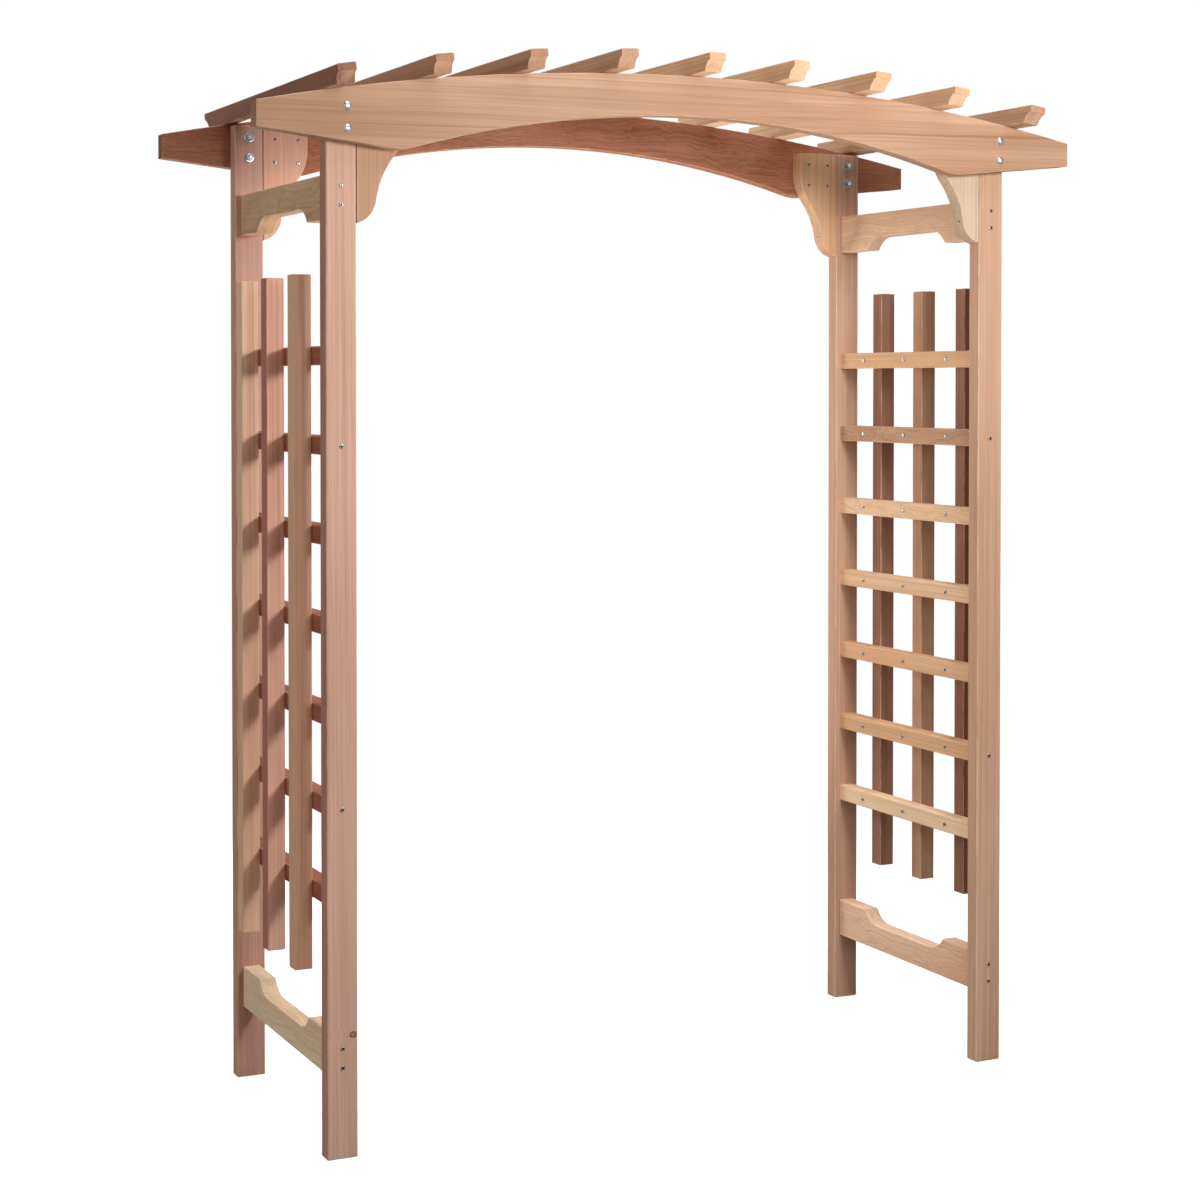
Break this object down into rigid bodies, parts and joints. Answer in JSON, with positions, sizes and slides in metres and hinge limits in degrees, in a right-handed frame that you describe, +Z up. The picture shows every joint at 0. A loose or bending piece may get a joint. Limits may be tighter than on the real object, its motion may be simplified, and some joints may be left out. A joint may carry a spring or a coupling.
{
  "type": "garden arch",
  "caption": "Free-standing timber arch for climbing plants, with curved beams, a slatted top, lattice sides and scrolled brackets.",
  "frame": {"origin": "on the ground, at the centre of the four posts", "axes": "+X across the walk-through to the right, +Y from front to back, +Z up"},
  "size_m": [1.912, 0.914, 2.225],
  "materials": {
    "beam_cedar": "smooth planed, unfinished",
    "post_cedar": "smooth planed, unfinished",
    "rafter_cedar": "smooth planed, unfinished",
    "bracket_cedar": "smooth planed, unfinished",
    "brace_cedar": "smooth planed, unfinished",
    "rail_cedar": "smooth planed, unfinished",
    "slat_cedar": "smooth planed, unfinished",
    "zinc_plate": "bright zinc plated"
  },
  "bodies": {
    "root": {"arched_beam_front": "beam_cedar", "arched_beam_rear": "beam_cedar", "bolt_nuts": "zinc_plate", "bolt_washers": "zinc_plate", "brace_screws": "zinc_plate", "bracket_front_left": "bracket_cedar", "bracket_front_right": "bracket_cedar", "bracket_rear_left": "bracket_cedar", "bracket_rear_right": "bracket_cedar", "bracket_screws": "zinc_plate", "bracket_toe_screws": "zinc_plate", "carriage_bolts": "zinc_plate", "lower_brace_left": "brace_cedar", "lower_brace_right": "brace_cedar", "post_front_left": "post_cedar", "post_front_right": "post_cedar", "post_rear_left": "post_cedar", "post_rear_right": "post_cedar", "rafter_1": "rafter_cedar", "rafter_2": "rafter_cedar", "rafter_3": "rafter_cedar", "rafter_4": "rafter_cedar", "rafter_5": "rafter_cedar", "rafter_6": "rafter_cedar", "rafter_7": "rafter_cedar", "rafter_8": "rafter_cedar", "rafter_9": "rafter_cedar", "rafter_screws": "zinc_plate", "rail_left_1": "rail_cedar", "rail_left_2": "rail_cedar", "rail_left_3": "rail_cedar", "rail_left_4": "rail_cedar", "rail_left_5": "rail_cedar", "rail_left_6": "rail_cedar", "rail_left_7": "rail_cedar", "rail_right_1": "rail_cedar", "rail_right_2": "rail_cedar", "rail_right_3": "rail_cedar", "rail_right_4": "rail_cedar", "rail_right_5": "rail_cedar", "rail_right_6": "rail_cedar", "rail_right_7": "rail_cedar", "rail_screws": "zinc_plate", "slat_left_1": "slat_cedar", "slat_left_2": "slat_cedar", "slat_left_3": "slat_cedar", "slat_right_1": "slat_cedar", "slat_right_2": "slat_cedar", "slat_right_3": "slat_cedar", "slat_screws_left": "zinc_plate", "slat_screws_right": "zinc_plate", "upper_brace_left": "brace_cedar", "upper_brace_right": "brace_cedar"}
  },
  "joints": []
}
